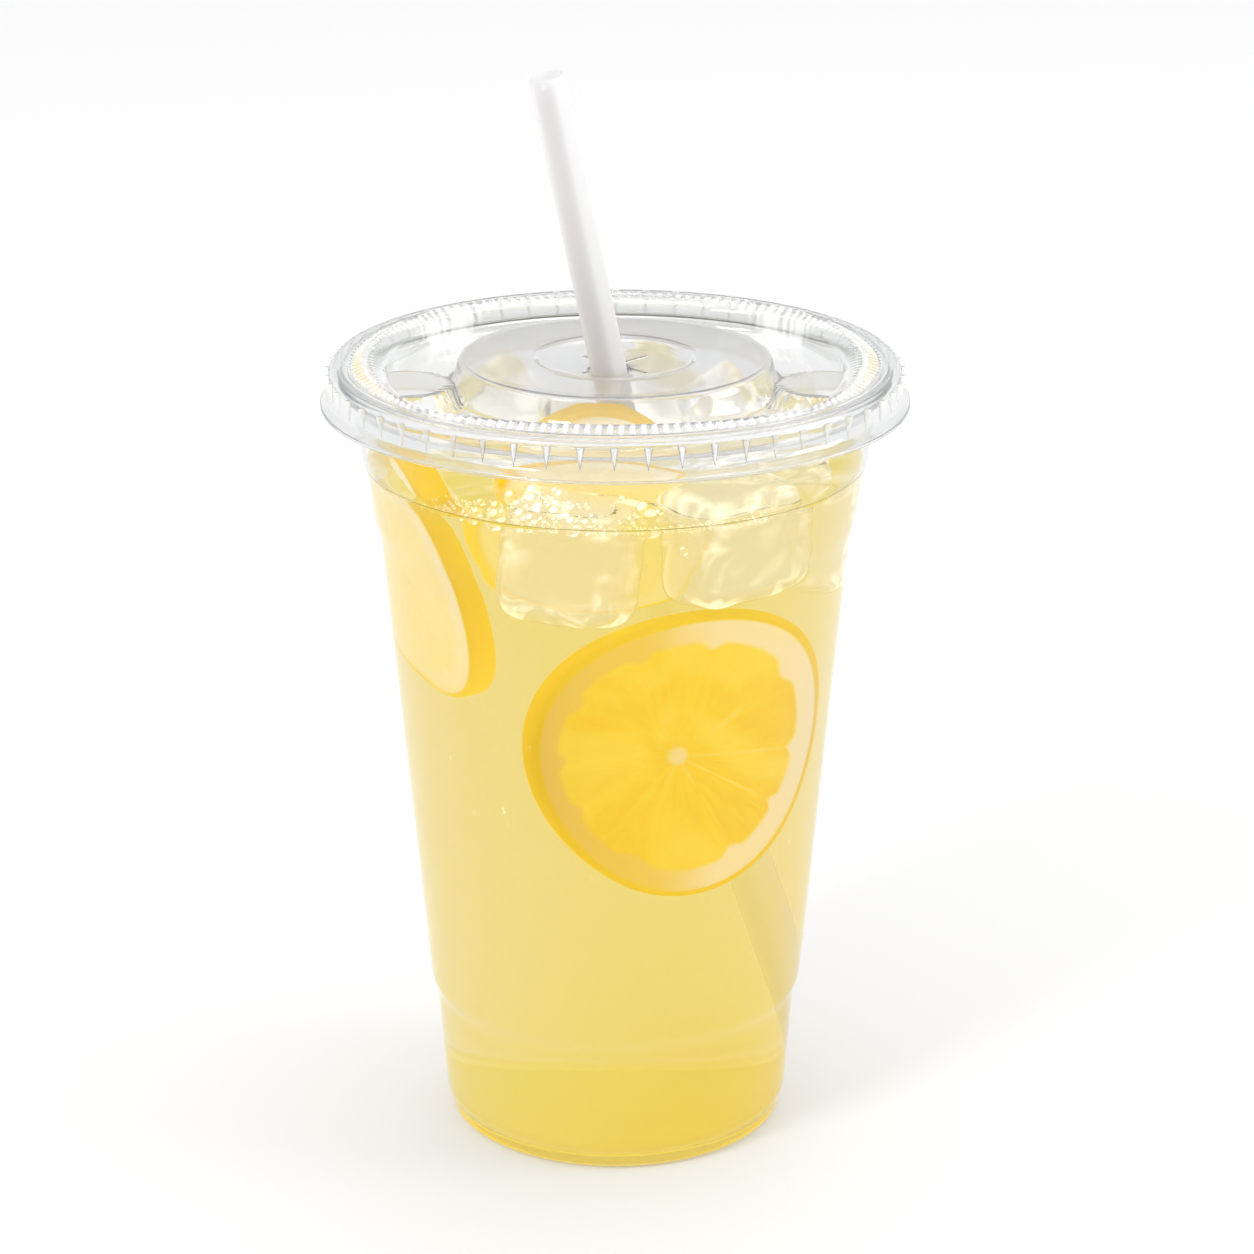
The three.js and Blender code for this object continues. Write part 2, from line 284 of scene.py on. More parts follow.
def clouded(tree, density, absorbed, glowing):
    """A fog: absorption that leaves a colour, added to a glow of the same density."""
    dims = node(tree, "VolumeAbsorption", {"Color": absorbed, "Density": density}).outputs[0]
    glows = node(tree, "Emission", {"Color": glowing, "Strength": density}).outputs[0]
    both = node(tree, "AddShader", {0: dims, 1: glows}).outputs[0]
    tree.links.new(both, tree.nodes["Material Output"].inputs["Volume"])


def ice_material(name, density, fog_glow):
    """Clear ice with a glowing milky fog inside and painted highlights broken along its edges."""
    ice, tree, shader = material(
        name, Base_Color=(0.99, 0.995, 1.0, 1), Roughness=0.03, IOR=1.34, Transmission_Weight=1.0,
        Emission_Strength=0.5)
    spots = node(tree, "TexCoord", {}).outputs["Object"]
    swirl = node(tree, "TexNoise", {"Vector": spots, "Scale": ICE_GLINT_SCALE, "Detail": 2.0,
                                    "Distortion": 2.0})
    along = node(tree, "Attribute", {}, attribute_name="ice_edge").outputs["Fac"]
    # A painted highlight: broken patches along the lump's edges glow white.
    ice_glint = sums(tree, "MULTIPLY", ramped(tree, along, *ICE_GLINT_EDGE),
                 ramped(tree, swirl.outputs[0], *ICE_GLINT_PATCH))
    ice_glint = blended(tree, ice_glint, (0, 0, 0, 1), (1.0, 0.97, 0.86, 1))
    tree.links.new(ice_glint, shader.inputs["Emission Color"])
    # The fog inside glows, a painted glow for light that cloudy ice scatters; deep lumps glow yellow.
    clouded(tree, density, (0, 0, 0, 1), fog_glow)
    return ice


ice_wet = ice_material("ice_wet", 70.0, (0.9, 0.8, 0.5, 1))
ice_dry = ice_material("ice_dry", 20.0, (0.92, 0.91, 0.84, 1))
for number, (centre, size, turns) in enumerate(ICE):
    rings, edge = ice_rings(centre, size, turns, number, ICE_OVERLAP)
    lump = skin(f"ice_lump_{number + 1}", rings, "capped")
    stored = lump.data.attributes.new("ice_edge", "FLOAT", "POINT")
    stored.data.foreach_set("value", np.append(edge.ravel(), (0.0, 0.0)))
    lump.data.materials.append(ice_wet if number < WET_LUMPS else ice_dry)
    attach(lump, "root")
    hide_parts(f"ice_{number + 1}")


# Lemonade
# Cloudy juice and water that fills the cup to a level below the neck's top. It wets the wall in a
# small meniscus, and the ice has pushed it aside. Its cloudiness is a fog that glows, a painted glow
# for the light that the juice scatters. It is a deeper yellow low down and to the right, and paler
# again on its bottom face, a painted lightening that makes up for the shade under the cup.

DRINK_LEVEL = 125.3
INTO_WALL = 0.1
MENISCUS_RISE, MENISCUS_RUN = 0.9, 1.3
SURFACE_POINTS = 60
WAVE = 0.18
DEEPER_HEIGHTS, DEEPER_ACROSS = (0.085, 0.0), (-0.035, 0.025)
LIT_BASE_HEIGHTS = (0.0027, 0.0045)
DRINK_CLOUD = 44.0


def cut_out(piece, tool):
    """Takes the tool's volume out of the piece, and deletes the tool."""
    cut = piece.modifiers.new("cut", "BOOLEAN")
    cut.operation = "DIFFERENCE"
    cut.solver = "MANIFOLD"
    cut.object = tool
    with bpy.context.temp_override(object=piece, active_object=piece):
        bpy.ops.object.modifier_apply(modifier=cut.name)
    bpy.data.objects.remove(tool)


fill = beside(cup_outside, CUP_WALL - INTO_WALL)
shore_height = DRINK_LEVEL + MENISCUS_RISE
fill = fill[fill[:, 1] < shore_height]
shore = np.array([np.interp(shore_height, cup_outside[:, 1], cup_outside[:, 0])
                  - CUP_WALL + INTO_WALL, shore_height])
across = shore[0] * (1 - np.linspace(0, 0.985, SURFACE_POINTS)[1:] ** 1.6)
climb = MENISCUS_RISE * np.exp((across - shore[0]) / MENISCUS_RUN)
surface = np.stack([across, DRINK_LEVEL + climb], axis=1)
drink_rings = revolved(np.concatenate([fill, [shore], surface]), CUP_AROUND)
x, y, z = np.moveaxis(drink_rings, -1, 0)
calm = (np.hypot(x, y) < shore[0] - 0.5) & (z > DRINK_LEVEL - 0.5)
z += calm * WAVE * (np.sin(0.31 * x + 0.2 * y) + np.sin(0.43 * y - 0.15 * x + 1.3))
drink = skin("lemonade_fill", drink_rings, "capped")
lemonade, lemonade_tree, lemonade_shader = material(
    "lemonade_cloudy", Roughness=0.0, IOR=1.33, Specular_Tint=(0.3, 0.3, 0.3, 1),
    Transmission_Weight=1.0)
apart = place(lemonade_tree)
deeper_yellow_and_lit_base = sums(lemonade_tree, "MULTIPLY", ramped(lemonade_tree, apart[2], *DEEPER_HEIGHTS),
               ramped(lemonade_tree, apart[0], *DEEPER_ACROSS))
# Paler again on the drink's bottom face: a painted lightening against the shade under the cup.
deeper_yellow_and_lit_base = sums(lemonade_tree, "MULTIPLY", deeper_yellow_and_lit_base, ramped(lemonade_tree, apart[2], *LIT_BASE_HEIGHTS))
tinge = blended(lemonade_tree, deeper_yellow_and_lit_base, (0.97, 0.95, 0.86, 1), (0.98, 0.83, 0.36, 1))
lemonade_tree.links.new(tinge, lemonade_shader.inputs["Base Color"])
# The cloudy drink is a fog that glows with its colour, a painted glow for the light it scatters.
clouded(lemonade_tree, DRINK_CLOUD, (0.0, 0.0, 0.43, 1), (0.9, 0.71, 0.057, 1))
drink.data.materials.append(lemonade)
for number, (centre, size, turns) in enumerate(ICE):
    rings, edge = ice_rings(centre, size, turns, number, 0.0)
    cut_out(drink, skin(f"ice_room_{number + 1}", rings, "capped"))
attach(drink, "root")
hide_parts("lemonade")


# Foam
# A clump of bubbles where the poured drink meets the front ice, a big one beside it, a row of
# small ones along the wall and a few single ones lower down. The floating ones stand half out of
# the drink. Each bubble has a painted glint, a white glow on its upper left, and glows faintly
# elsewhere.

FOAM_SEED = 11
BIG_BUBBLES = [(5.3, -30.5, 124.9, 2.2), (7.6, -31.5, 125.2, 0.7), (3.6, -33.4, 125.2, 0.6)]
CLUMP_TRIES, ROW_TRIES, SIDE_TRIES = 120, 100, 40
CLUMP_AT, CLUMP_SPREAD = (-13.0, -33.5), (5.4, 4.4)
SIDE_AT, SIDE_SPREAD = (-27.5, -27.0), (2.6, 2.6)
ROW_FROM, ROW_TO, ROW_RADIUS = -1.0, 26.0, 42.7
SMALL_BUBBLE = (0.15, 0.4)
FRONT_ICE = (-7.6, -26.2)
ICE_TOP = 126.6
FOAM_LIMIT = 43.2
LOOSE_BUBBLE = (11.6, 121.5, 0.85)
WALL_BUBBLES = (
    (-24.5, 68.7, 0.35), (-19.3, 70.8, 0.5), (-28.6, 78.0, 0.4), (-18.5, 68.2, 0.3),
    (-20.8, 67.5, 0.25), (-4.0, 60.0, 0.3), (30.5, 60.0, 0.3), (-14.5, 84.0, 0.3),
)
BALL_RINGS, BALL_AROUND = 11, 20
GLINT_WAY, GLINT_SPAN = (-0.35, -0.5, 0.79), (0.86, 0.96)


def balls(name, centres, radii):
    """Many balls as one mesh.

    A unit ball is rings of points from pole to pole, closed by a point at each end. It is copied to
    each centre with its radius.
    """
    down = np.linspace(0, np.pi, BALL_RINGS + 2)[1:-1, None]
    round_ = np.linspace(0, 2 * np.pi, BALL_AROUND, endpoint=False)[None, :]
    rings = np.stack([np.sin(down) * np.cos(round_), np.sin(down) * np.sin(round_),
                      -np.cos(down) + 0 * round_], axis=-1)
    unit = np.concatenate([rings.reshape(-1, 3), [(0, 0, -1), (0, 0, 1)]])
    points = unit * radii[:, None, None] + centres[:, None]
    quads, fans = woven(BALL_RINGS, BALL_AROUND, "capped")
    first = np.arange(len(centres))[:, None, None] * len(unit)
    quads = (quads + first).reshape(-1, 4)
    fans = (fans + first).reshape(-1, 3)
    return placed(name, points.reshape(-1, 3), quads.tolist() + fans.tolist())


def wall_radius(height):
    """The radius of the cup's inner face at a height."""
    return np.interp(height, cup_outside[:, 1], cup_outside[:, 0]) - CUP_WALL


chance = np.random.default_rng(FOAM_SEED)
foam = list(BIG_BUBBLES)
for k in range(CLUMP_TRIES + ROW_TRIES + SIDE_TRIES):
    if k < CLUMP_TRIES:
        spot = chance.normal(CLUMP_AT, CLUMP_SPREAD)
        size = 0.35 + 1.3 * chance.random() ** 1.8
    elif k < CLUMP_TRIES + ROW_TRIES:
        spot = np.array([chance.uniform(ROW_FROM, ROW_TO), 0])
        spot[1] = -np.sqrt(ROW_RADIUS ** 2 - spot[0] ** 2) + chance.exponential(0.8)
        size = chance.uniform(*SMALL_BUBBLE)
    else:
        spot = chance.normal(SIDE_AT, SIDE_SPREAD)
        size = chance.uniform(*SMALL_BUBBLE)
    if np.hypot(*spot) + size > FOAM_LIMIT:
        continue
    on_ice = abs(spot[0] - FRONT_ICE[0]) < 10 and abs(spot[1] - FRONT_ICE[1]) < 7.5
    height = (ICE_TOP if on_ice else DRINK_LEVEL + 0.15) + 0.15 * size
    if all(np.hypot(spot[0] - x, spot[1] - y) > 0.9 * (size + other) for x, y, _, other in foam):
        foam.append((spot[0], spot[1], height, size))
x, z, size = LOOSE_BUBBLE
foam.append((x, -np.sqrt(wall_radius(z) ** 2 - x ** 2) + 1.1, z, size))
for x, z, size in WALL_BUBBLES:
    reach = wall_radius(z) - size - 0.15
    foam.append((x, -np.sqrt(reach ** 2 - x ** 2), z, size))
foam = np.array(foam)
froth = balls("foam_bubbles", foam[:, :3], foam[:, 3])
foam_clear, foam_tree, foam_shader = material(
    "foam_clear", Base_Color=(1, 1, 1, 1), Roughness=0.0, IOR=1.15, Transmission_Weight=1.0,
    Emission_Strength=0.6)
# A painted glint: each bubble's upper left glows white, and the rest glows faintly.
facing = node(foam_tree, "NewGeometry", {}).outputs["Normal"]
facing = node(foam_tree, "VectorMath", {0: facing, 1: GLINT_WAY},
              operation="DOT_PRODUCT").outputs["Value"]
glint = blended(foam_tree, ramped(foam_tree, facing, *GLINT_SPAN), (0.03, 0.03, 0.03, 1),
                (1, 0.99, 0.95, 1))
foam_tree.links.new(glint, foam_shader.inputs["Emission Color"])
froth.data.materials.append(foam_clear)
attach(froth, "root")


# Lemon slices
# Three slices cut across a whole lemon with the rind left on, none of them quite round. The ice has
# pressed the front one to the wall, and it bows a little with it. Each has ten juicy segments in
# thin skins, round a pith core. The other two show a paler face. The pith, core and skins are
# painted a darker tan towards the left, painted shade, and the whole slice glows weakly with its
# own colour, a painted glow.

SLICES = (
    ("lemon_slice_front", 26.9, 5.0, 23, -3, 3.8, (0.035, 38), (11.0, -25.4, 81.4), 0.0),
    ("lemon_slice_left", 22.8, 5.4, -74, -17, 0.8, (0.02, 60), (-30.0, -7.6, 108.6), 0.8),
    ("lemon_slice_middle", 17.5, 6.0, 5, -5, 0.0, (0.02, 80), (-3.8, -9.9, 120.6), 0.7),
)
SEGMENTS = 10
FLESH_REACH, CORE_REACH, RIND_STARTS = 0.81, 0.055, 0.95
FLESH_SHIFT, CORE_SHIFT = -0.035, -0.09
SWING_TWO, SWING_THREE = 0.11, 0.07
RIND_ROUND, RIND_CHAMFER = 1.5, 0.8
SLICE_PITCH, SLICE_AROUND = 0.45, 300


def distance(tree, first, second):
    """How far two offsets at right angles reach together."""
    offsets = node(tree, "CombineXYZ", {0: first, 1: second}).outputs[0]
    return node(tree, "VectorMath", {0: offsets}, operation="LENGTH").outputs["Value"]


def smooth(low, high, value):
    """From nought at the low value to one at the high one, by three t squared less two t cubed."""
    t = np.clip((value - low) / (high - low), 0, 1)
    return t * t * (3 - 2 * t)


def slice_relief(across, up):
    """How far the cut face stands out, in millimetres, at a place given in slice radii.

    The angle round the core, swung by two slow waves so that no two segments are alike, is cut
    into ten. The flesh swells between its skins by the distance to the nearest one, and it ends
    sooner beside a skin, which leaves its outer corners round.
    """
    reach = np.hypot(across - FLESH_SHIFT, up)
    across = across - CORE_SHIFT
    out = np.hypot(across, up)
    angle = np.arctan2(up, across)
    angle = angle + SWING_TWO * np.sin(2 * angle + 0.7) + SWING_THREE * np.sin(3 * angle + 2.0)
    turn = angle * SEGMENTS / (2 * np.pi)
    from_skin = (0.5 - np.abs(turn - np.floor(turn) - 0.5)) * 2 * np.pi / SEGMENTS * out
    end = FLESH_REACH - 0.05 * (1 - smooth(0.0, 0.1, from_skin))
    inside = smooth(0, 0.05, end - reach) * smooth(0, 0.05, out - CORE_REACH)
    return inside * (0.45 * smooth(0.0, 0.07, from_skin) - 0.3)


lemon, lemon_tree, lemon_shader = material(
    "lemon_cut", Roughness=0.35, IOR=1.35, Specular_IOR_Level=0.0, Emission_Strength=0.46)
spot = node(lemon_tree, "Attribute", {}, attribute_name="slice_place").outputs["Vector"]
apart = node(lemon_tree, "SeparateXYZ", {0: spot}).outputs
rim = distance(lemon_tree, apart[0], apart[1])
reach = distance(lemon_tree, sums(lemon_tree, "SUBTRACT", apart[0], FLESH_SHIFT), apart[1])
across = sums(lemon_tree, "SUBTRACT", apart[0], CORE_SHIFT)
out = distance(lemon_tree, across, apart[1])
angle = sums(lemon_tree, "ARCTAN2", apart[1], across)
two = sums(lemon_tree, "SINE", sums(lemon_tree, "MULTIPLY_ADD", angle, 2.0, 0.7))
three = sums(lemon_tree, "SINE", sums(lemon_tree, "MULTIPLY_ADD", angle, 3.0, 2.0))
swung = sums(lemon_tree, "MULTIPLY_ADD", two, SWING_TWO, angle)
swung = sums(lemon_tree, "MULTIPLY_ADD", three, SWING_THREE, swung)
turn = sums(lemon_tree, "FRACT", sums(lemon_tree, "MULTIPLY", swung, SEGMENTS / (2 * np.pi)))
skew = sums(lemon_tree, "ABSOLUTE", sums(lemon_tree, "SUBTRACT", turn, 0.5))
skew = sums(lemon_tree, "MULTIPLY", sums(lemon_tree, "SUBTRACT", 0.5, skew), 2 * np.pi / SEGMENTS)
from_skin = sums(lemon_tree, "MULTIPLY", skew, out)
end = sums(lemon_tree, "MULTIPLY_ADD", ramped(lemon_tree, from_skin, 0.0, 0.1), 0.05,
           FLESH_REACH - 0.05)
flesh = ramped(lemon_tree, sums(lemon_tree, "SUBTRACT", end, reach), -0.02, 0.025)
flesh = sums(lemon_tree, "MULTIPLY", flesh,
             ramped(lemon_tree, out, CORE_REACH - 0.02, CORE_REACH + 0.03))
skin_line = ramped(lemon_tree, from_skin, 0.02, 0.0)
rays = node(lemon_tree, "CombineXYZ", {
    0: sums(lemon_tree, "MULTIPLY", swung, 7.0), 1: sums(lemon_tree, "MULTIPLY", out, 2.2),
    2: apart[2]}).outputs[0]
sacs = node(lemon_tree, "TexNoise", {"Vector": rays, "Scale": 2.6, "Detail": 3.0, "Distortion": 0.6})
broad = node(lemon_tree, "TexNoise", {"Vector": spot, "Scale": 2.3, "Detail": 1.0}).outputs[0]
juice = blended(lemon_tree, ramped(lemon_tree, sacs.outputs[0], 0.25, 0.75),
                (0.92, 0.57, 0.008, 1), (0.96, 0.64, 0.02, 1))
patches = node(lemon_tree, "TexNoise", {"Vector": spot, "Scale": 1.4, "Detail": 2.0,
                                        "Distortion": 0.8}).outputs[0]
juice = blended(lemon_tree, ramped(lemon_tree, patches, 0.42, 0.62), juice, (0.97, 0.69, 0.05, 1))
faint = sums(lemon_tree, "MULTIPLY", skin_line, sums(
    lemon_tree, "MULTIPLY", ramped(lemon_tree, across, -0.3, 0.6), ramped(lemon_tree, broad, 0.42, 0.6)))
juice = blended(lemon_tree, faint, juice, (0.97, 0.73, 0.14, 1))
# Painted shade: the pith, core and skins go from cream at the right to a darker tan at the left.
pith_shade = blended(lemon_tree, ramped(lemon_tree, sums(lemon_tree, "MULTIPLY_ADD", broad, 0.5, apart[0]),
                                    0.5, -0.15), (0.95, 0.79, 0.52, 1), (0.86, 0.57, 0.09, 1))
face = blended(lemon_tree, flesh, pith_shade, juice)
whole = blended(lemon_tree, ramped(lemon_tree, rim, RIND_STARTS - 0.012, RIND_STARTS + 0.012), face,
                (0.91, 0.58, 0.001, 1))
pale = node(lemon_tree, "Attribute", {}, attribute_name="slice_pale").outputs["Fac"]
on_face = ramped(lemon_tree, rim, RIND_STARTS, RIND_STARTS - 0.08)
on_face = sums(lemon_tree, "MULTIPLY", pale, on_face)
whole = blended(lemon_tree, on_face, whole, (0.98, 0.88, 0.6, 1))
lemon_tree.links.new(whole, lemon_shader.inputs["Base Color"])
# The slice glows weakly with its own colour, a painted glow.
lemon_tree.links.new(whole, lemon_shader.inputs["Emission Color"])
pores = node(lemon_tree, "TexVoronoi", {"Vector": spot, "Scale": 22.0})
on_peel = sums(lemon_tree, "MULTIPLY", ramped(lemon_tree, pores.outputs[0], 0.0, 0.3),
               ramped(lemon_tree, rim, 0.96, 0.99))
uneven = sums(lemon_tree, "ADD", on_peel, sums(lemon_tree, "MULTIPLY", sacs.outputs[0], flesh))
bumps = node(lemon_tree, "Bump", {"Height": uneven, "Distance": 0.0004, "Strength": 0.5})
lemon_tree.links.new(bumps.outputs[0], lemon_shader.inputs["Normal"])

for name, radius, thick, turn, tilt, bow, (swell, swell_at), centre, paleness in SLICES:
    half = thick / 2
    low, high = -half + RIND_CHAMFER, half - RIND_CHAMFER
    path = np.array([(0.2, -half), (radius - RIND_CHAMFER, -half), (radius, low),
                     (radius, high), (radius - RIND_CHAMFER, half), (0.2, half)])
    rings = revolved(divided(eased(path, RIND_ROUND), SLICE_PITCH), SLICE_AROUND)
    across, up, depth = np.moveaxis(rings / (radius, radius, half), -1, 0)
    rings[..., 2] += slice_relief(across, up) * np.where(np.abs(depth) > 0.99, np.sign(depth), 0)
    lobes = 1 + swell * np.cos(3 * (np.arctan2(up, across) - np.radians(swell_at)))
    rings[..., :2] *= lobes[..., None]
    rings[..., 2] += bow * (0.4 - (rings[..., 0] / radius) ** 2)
    slice_ = skin(name + "_cut", rings @ turn_matrix((90 - tilt, 0, turn)).T + centre, "capped")
    spots = np.stack([across, up, depth], axis=-1).reshape(-1, 3)
    spots = np.concatenate([spots, [(0, 0, -1), (0, 0, 1)]])
    stored = slice_.data.attributes.new("slice_place", "FLOAT_VECTOR", "POINT")
    stored.data.foreach_set("vector", spots.ravel())
    stored = slice_.data.attributes.new("slice_pale", "FLOAT", "POINT")
    stored.data.foreach_set("value", np.full(len(spots), paleness))
    slice_.data.materials.append(lemon)
    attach(slice_, "root")
    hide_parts(name)


# Lid
# A flat lid formed from one clear sheet, thinner than the cup, and snapped over the rim. Its skirt
# has lugs that stiffen it, its shoulder two beads and a ring of short ribs, and inside them a
# square-cornered trough runs round a raised middle, with two round buttons against its wall. The
# sheet is milky where it has been pressed hard, rougher there and glowing white, a painted glow,
# and the rest of it glows faintly. The raised middle and the skirt are a darker grey, painted
# shade. Two crossed slits let the straw through.

LID_WALL = 0.45
LID_AROUND = 600
LID_CORNERS = np.array([
    (3.5, 141.3), (3.5, 142.8), (9.6, 142.8), (13.4, 143.5), (14.2, 144.4), (27.7, 144.4),
    (28.3, 141.7), (29.3, 139.1), (39.9, 139.1), (40.4, 143.2), (43.3, 144.5), (46.7, 143.4),
    (47.5, 143.95), (48.4, 143.45), (49.4, 143.9), (50.7, 142.9), (50.6, 139.7), (50.8, 138.2),
    (52.2, 137.1), (52.2, 136.6),
])
LID_ROUND, LID_PITCH = 0.9, 2.2
TROUGH_FLOOR, TROUGH_FROM, TROUGH_TO, TROUGH_POINTS = 139.1, 29.5, 39.5, 11
TROUGH_IN, TROUGH_WALL, RIBS_OUT = 32.3, 40.4, 46.7
TROUGH_CORNER = 4.6
BUTTON_RADIUS, BUTTON_CENTRE, BUTTON_TOP = 8.8, 38.6, 143.0
BUTTON_ANGLES = (-20, 200)
RIBS, RIB_HEIGHT, RIB_SPAN = 150, 0.4, (43.5, 46.5)
LUGS, LUG_FOOT, LUG_TIP, LUG_WIDTH, LUG_SPAN = 56, 50.4, 51.6, 1.5, (138.2, 142.4)
STRAW_AT_LID = np.array([-1.1, -4.0, 143.0])
STRAW_SLOPE = np.array([-0.198, -0.087])
WELL_FLOOR, WELL_EDGE = 3.5, 9.6
SLIT_LENGTH, SLIT_WIDTH, SLIT_ANGLES, SLIT_SPAN = 16.0, 0.5, (45, 135), (140.0, 146.0)
PRESSED_IN, PRESSED_OUT, PRESSED_TURN = (0.0385, 0.0395), (0.045, 0.044), (0.15, 0.08)
RIBBED_IN, RIBBED_OUT, RIBBED_WAVE = (0.0434, 0.0438), (0.0468, 0.0464), (-0.2, 0.4)
SKIRT_FROM, MIDDLE_TO = (0.0495, 0.0503), (0.029, 0.0275)


def lid_sheet(path):
    """The upper face of the lid before its ribs are pressed.

    The path is turned about Z. Inside the well its rings move over to be centred on the straw, at
    each ring's own height. The trough's wall and the ledge beside it move out towards four corners
    by a share that falls off with the angle from the corner. Each button lifts what lies within
    its circle to its own height.
    """
    rings = revolved(path, LID_AROUND)
    height = rings[..., 2]
    near = 1 - smooth(WELL_FLOOR, WELL_EDGE, path[:, 0])[:, None]
    for k in (0, 1):
        rings[..., k] += near * (STRAW_AT_LID[k] + STRAW_SLOPE[k] * (height - STRAW_AT_LID[2]))
    radius = path[:, :1]
    angle = np.linspace(0, 360, LID_AROUND, endpoint=False)[None, :]
    from_corner = np.abs(angle % 90 - 45)
    pull = TROUGH_CORNER * np.clip(1 - from_corner / 40, 0, 1) ** 1.5
    inner = (radius - TROUGH_IN) / (TROUGH_WALL - TROUGH_IN)
    outer = (RIBS_OUT - radius) / (RIBS_OUT - TROUGH_WALL)
    share = np.clip(1.35 * np.minimum(inner, outer), 0, 1)
    rings[..., :2] *= (1 + pull * share / np.maximum(radius, 1))[..., None]
    for turn in np.radians(BUTTON_ANGLES):
        middle = BUTTON_CENTRE * np.array([np.cos(turn), np.sin(turn)])
        away = np.linalg.norm(rings[..., :2] - middle, axis=-1)
        lift = 1 - smooth(BUTTON_RADIUS - 0.5, BUTTON_RADIUS + 0.8, away)
        lift *= (height < BUTTON_TOP) & (radius > TROUGH_IN - 4)
        height += (BUTTON_TOP - height) * lift
    return rings


def lid_relief(path):
    """How far the ribs rise out of the sheet.

    A rib is one wave of a sine held to half of its height, so that its top is flat. The ribs fade
    out at the trough's four corners.
    """
    radius = path[:, :1]
    angle = np.linspace(0, 2 * np.pi, LID_AROUND, endpoint=False)[None, :]
    span = smooth(RIB_SPAN[0] - 0.3, RIB_SPAN[0] + 0.3, radius)
    span = span * (1 - smooth(RIB_SPAN[1] - 0.3, RIB_SPAN[1] + 0.3, radius))
    from_corner = np.abs(np.degrees(angle) % 90 - 45)
    wave = np.clip(2 * np.sin(RIBS * angle + np.pi / 4), -1, 1)
    return RIB_HEIGHT * span * smooth(4, 14, from_corner) * wave


lid_path = divided(eased(LID_CORNERS, LID_ROUND, 3), LID_PITCH)
floor_radii = np.linspace(TROUGH_FROM + 0.1, TROUGH_TO - 0.1, TROUGH_POINTS)
flat = np.stack([floor_radii, np.full(TROUGH_POINTS, TROUGH_FLOOR)], axis=1)
lid_path = np.concatenate([lid_path[lid_path[:, 0] < TROUGH_FROM], flat,
                           lid_path[lid_path[:, 0] > TROUGH_TO]])
sheet_top = lid_sheet(lid_path)
along = np.gradient(sheet_top, axis=0)
around = np.roll(sheet_top, -1, axis=1) - np.roll(sheet_top, 1, axis=1)
normal = np.cross(along, around)
sheet_under = sheet_top - LID_WALL * normal / np.linalg.norm(normal, axis=-1, keepdims=True)
ribs = lid_relief(lid_path)
for face, press in ((sheet_top, 1.0), (sheet_under, 0.5)):
    face[..., 2] += press * ribs
lid_rings = np.concatenate([sheet_top, sheet_under[::-1]])
lid = skin("lid_shell", lid_rings, "joined")
lid_clear, lid_tree, lid_shader = material(
    "lid_clear", IOR=1.5, Transmission_Weight=0.88, Emission_Strength=0.3)
apart = place(lid_tree)
out = distance(lid_tree, apart[0], apart[1])
side = sums(lid_tree, "ARCTAN2", sums(lid_tree, "ABSOLUTE", apart[1]),
            sums(lid_tree, "ABSOLUTE", apart[0]))
from_corner = sums(lid_tree, "ABSOLUTE", sums(lid_tree, "SUBTRACT", side, np.pi / 4))
pressed = sums(lid_tree, "MULTIPLY", ramped(lid_tree, out, *PRESSED_IN),
               ramped(lid_tree, out, *PRESSED_OUT))
pressed = sums(lid_tree, "MULTIPLY", ramped(lid_tree, from_corner, *PRESSED_TURN), pressed)
turn = sums(lid_tree, "ARCTAN2", apart[1], apart[0])
wave = sums(lid_tree, "SINE", sums(lid_tree, "MULTIPLY_ADD", turn, float(RIBS), np.pi / 4))
ribbed = sums(lid_tree, "MULTIPLY", ramped(lid_tree, out, *RIBBED_IN),
              ramped(lid_tree, out, *RIBBED_OUT))
ribbed = sums(lid_tree, "MULTIPLY", ribbed, ramped(lid_tree, wave, *RIBBED_WAVE))
# Milky where pressed and along the ribs: rougher, and glowing white, a painted glow; the rest glows
# faintly.
milky_glow = sums(lid_tree, "MAXIMUM", sums(lid_tree, "MULTIPLY", pressed, 0.6),
             sums(lid_tree, "MULTIPLY", ribbed, 0.5))
lid_tree.links.new(sums(lid_tree, "MULTIPLY_ADD", milky_glow, 0.3, 0.06), lid_shader.inputs["Roughness"])
lid_tree.links.new(blended(lid_tree, milky_glow, (0.07, 0.07, 0.07, 1), (1, 1, 1, 1)),
                   lid_shader.inputs["Emission Color"])
# Painted shade: the raised middle and the skirt are a darker grey.
skirt = sums(lid_tree, "MULTIPLY", ramped(lid_tree, out, *SKIRT_FROM), 0.7)
painted_shade = sums(lid_tree, "MAXIMUM", ramped(lid_tree, out, *MIDDLE_TO), skirt)
grey = blended(lid_tree, painted_shade, (0.97, 0.975, 0.98, 1), (0.82, 0.82, 0.83, 1))
lid_tree.links.new(grey, lid_shader.inputs["Base Color"])
lid.data.materials.append(lid_clear)
for turn in SLIT_ANGLES:
    corner = np.array([(1, 1), (-1, 1), (-1, -1), (1, -1)]) * (SLIT_LENGTH / 2, SLIT_WIDTH / 2)
    corner = corner @ turn_matrix((0, 0, turn))[:2, :2].T
    slit_rings = np.stack([np.column_stack([corner, np.full(4, z)]) for z in SLIT_SPAN])
    slit = skin("slit", slit_rings, "capped")
    slit.data.materials.append(lid_clear)
    cut_out(lid, slit)
lid.data.set_sharp_from_angle(angle=np.radians(50))
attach(lid, "root")
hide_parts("lid")

